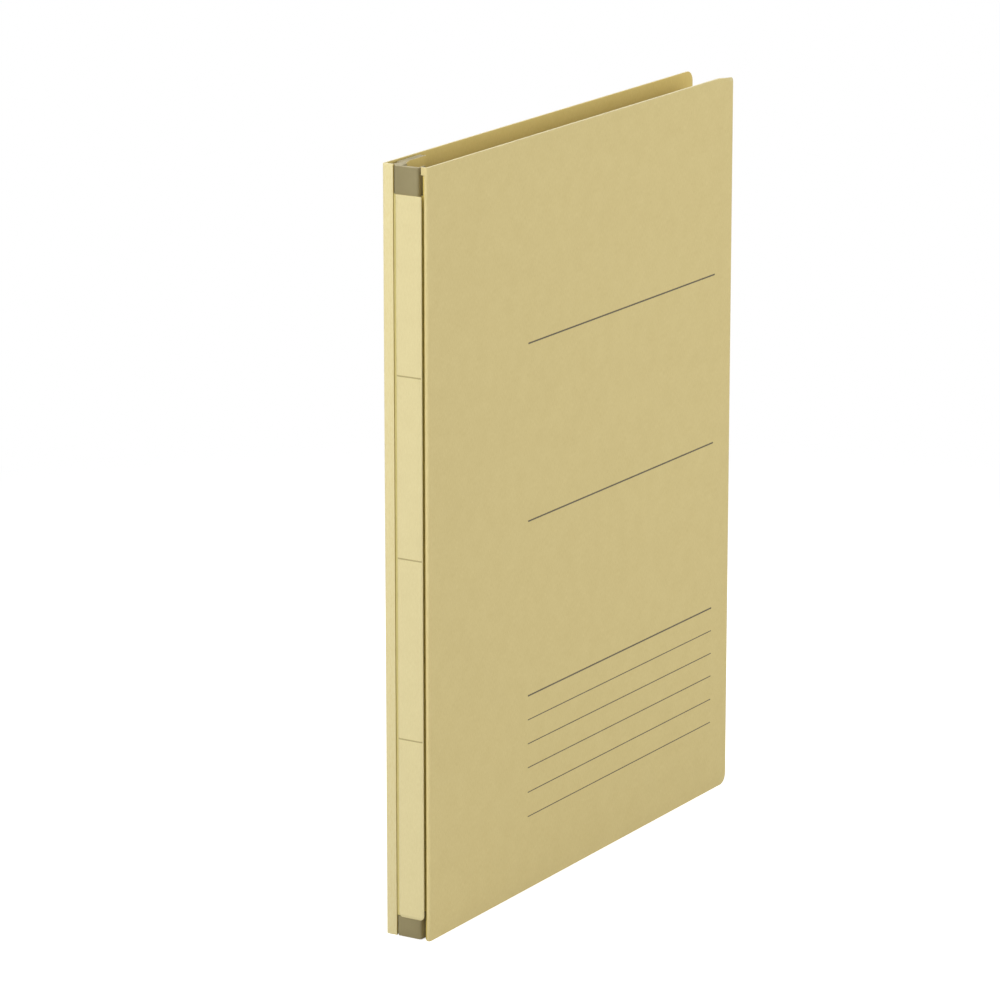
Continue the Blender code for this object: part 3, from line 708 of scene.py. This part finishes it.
prongs = blank("folded_prongs",
               spot(PRONG_ACROSS, HOLE_LINE - PRONG_HALF_WIDTH, MIDDLE - HALF_PITCH),
               spot(PRONG_ACROSS, HOLE_LINE + PRONG_HALF_WIDTH, MIDDLE + HALF_PITCH))
for side in (1, -1):
    for across, move in (
            (PRONG_ACROSS, shift(PRONG_RISE, 0.0, 0.0)),
            (PRONG_ACROSS + PRONG_RISE, shift(0.0, 0.0, side * PRONG_BLADE))):
        bend = spot(across, 0.0, MIDDLE + side * HALF_PITCH)
        choose(prongs, "EDGE", lambda a, b: all(
            same(end.x, bend.x) and same(end.z, bend.z) for end in (a, b)))
        draw_out(move)
choose(prongs, "EDGE", lambda a, b: (
    runs_inwards(a, b) and same(abs(a.z - MIDDLE * MM), HALF_PITCH * MM)))
bpy.ops.mesh.bevel(offset=PRONG_BEND * MM, segments=4, affect="EDGES")
choose(prongs, "VERT", lambda point: same(
    abs(point.z - MIDDLE * MM), (HALF_PITCH + PRONG_BLADE) * MM))
bpy.ops.mesh.bevel(offset=PRONG_TIP * MM, segments=6, affect="VERTICES")
finish_with(prongs, "SOLIDIFY", thickness=PRONG_THICKNESS * MM, offset=0.0, use_even_offset=True)
soften(prongs, width=0.12)
prongs.data.materials.append(fastener_plastic)
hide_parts("fastener_prongs")
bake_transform(prongs)

for node, name, body, width in (
        ("fastener_plate", "staked_fastener_plate", "spine", 0.2),
        ("press_bar", "grooved_press_bar", "press_bar", 0.2),
        ("keeper_top", "upper_keeper", "keeper_top", 0.18),
        ("keeper_bottom", "lower_keeper", "keeper_bottom", 0.18)):
    piece = copy_of(node, name)
    if name.endswith("keeper"):
        low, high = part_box(node)
        for number in range(1, GRIPS + 1):
            height = low.z + (high.z - low.z) * number / (GRIPS + 1)
            grip = block_out(
                f"{name}_grip",
                Vector((high.x, low.y, height)) + shift(-GRIP_ROOT, GRIP_SHORT, -GRIP_HALF_WIDTH),
                Vector((high.x, high.y, height)) + shift(GRIP_PROUD, -GRIP_SHORT, GRIP_HALF_WIDTH))
            combine(piece, grip, "UNION")
    soften(piece, width)
    piece.data.materials.append(fastener_plastic)
    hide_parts(node)
    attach(piece, body)


# Floor, light and camera
# A plain pale floor that keeps the file's soft shadow, a large lamp on the left as the key, five
# weaker ones round the file so that every side is lit, and the camera of the photograph.

WHITE = (1.0, 1.0, 1.0, 1.0)
AIM = Vector((0.0, 0.0, 0.16))
AZIMUTH, ELEVATION = math.radians(31.37), math.radians(14.71)
CAMERA_PLACE = shift(1016.1, -1715.9, 673.9)


def seen_as_background(tree):
    """A socket that is 1 for rays by which the camera sees, also in a gloss or through glass."""
    rays = add_node(tree, "ShaderNodeLightPath").outputs
    seen = rays["Is Camera Ray"]
    for ray in ("Is Glossy Ray", "Is Transmission Ray"):
        seen = add_node(
            tree, "ShaderNodeMath", {0: seen, 1: rays[ray]}, operation="MAXIMUM").outputs[0]
    return seen


bpy.ops.object.select_all(action="DESELECT")
bpy.ops.mesh.primitive_plane_add(size=16.0, location=(0.0, 0.0, 0.0))
floor = bpy.context.object
floor.name = "floor"
paint = bpy.data.materials.new("matte_white_floor_paint")
paint.use_nodes = True
tree = paint.node_tree
tree.nodes.clear()
place = add_node(tree, "ShaderNodeTexCoord").outputs["Object"]
distance = add_node(tree, "ShaderNodeVectorMath", {0: place}, operation="LENGTH")
far = add_node(tree, "ShaderNodeMapRange", {
    "Value": distance.outputs["Value"], "From Min": 0.2, "From Max": 0.7,
    "To Min": 0.6, "To Max": 1.0}, interpolation_type="SMOOTHSTEP")
seen = seen_as_background(tree)
share = add_node(tree, "ShaderNodeMath", {0: seen, 1: far.outputs["Result"]}, operation="MULTIPLY")
tone = add_node(tree, "ShaderNodeMapRange", {"Value": seen, "To Min": 0.6, "To Max": 1.9})
matte = add_node(tree, "ShaderNodeBsdfDiffuse", {"Color": tone.outputs["Result"]})
glow = add_node(tree, "ShaderNodeEmission", {"Color": WHITE, "Strength": 1.0})
white = add_node(tree, "ShaderNodeMixShader", {
    0: share.outputs[0], 1: matte.outputs[0], 2: glow.outputs[0]})
under = add_node(tree, "ShaderNodeNewGeometry").outputs["Backfacing"]
clear = add_node(tree, "ShaderNodeBsdfTransparent")
surface = add_node(tree, "ShaderNodeMixShader", {
    0: under, 1: white.outputs[0], 2: clear.outputs[0]})
add_node(tree, "ShaderNodeOutputMaterial", {"Surface": surface.outputs[0]})
floor.data.materials.append(paint)

world = bpy.data.worlds.new("studio")
bpy.context.scene.world = world
world.use_nodes = True
tree = world.node_tree
tree.nodes.clear()
room = add_node(tree, "ShaderNodeBackground", {"Color": WHITE, "Strength": 0.15})
backdrop = add_node(tree, "ShaderNodeBackground", {"Color": WHITE, "Strength": 1.0})
both = add_node(tree, "ShaderNodeMixShader", {
    0: seen_as_background(tree), 1: room.outputs[0], 2: backdrop.outputs[0]})
add_node(tree, "ShaderNodeOutputWorld", {"Surface": both.outputs[0]})

for name, place, power, size in (
        ("key_lamp", (-0.6, -1.9, 1.3), 31.0, 1.4),
        ("camera_side_lamp", (0.9, -1.9, 1.1), 15.0, 1.2),
        ("top_lamp", (0.2, -0.5, 2.1), 8.5, 1.2),
        ("front_cover_lamp", (1.7, 0.2, 0.7), 5.5, 0.8),
        ("fore_edge_lamp", (1.3, 0.9, 0.7), 10.5, 1.0),
        ("back_lamp", (-1.5, 1.2, 1.1), 18.0, 1.4)):
    bpy.ops.object.light_add(type="AREA", location=place)
    lamp = bpy.context.object
    lamp.name = lamp.data.name = name
    lamp.data.energy = power
    lamp.data.size = size
    lamp.rotation_euler = (AIM - Vector(place)).to_track_quat("-Z", "Y").to_euler()

bpy.ops.object.camera_add()
camera = bpy.context.object
camera.name = "photograph_camera"
camera.data.sensor_width = 36.0
camera.data.lens = 184.2
looking = Vector((-math.sin(AZIMUTH) * math.cos(ELEVATION),
                  math.cos(AZIMUTH) * math.cos(ELEVATION), -math.sin(ELEVATION)))
camera.location = CAMERA_PLACE
camera.rotation_euler = looking.to_track_quat("-Z", "Y").to_euler()
bpy.context.scene.camera = camera
bpy.context.scene.view_settings.view_transform = "Standard"
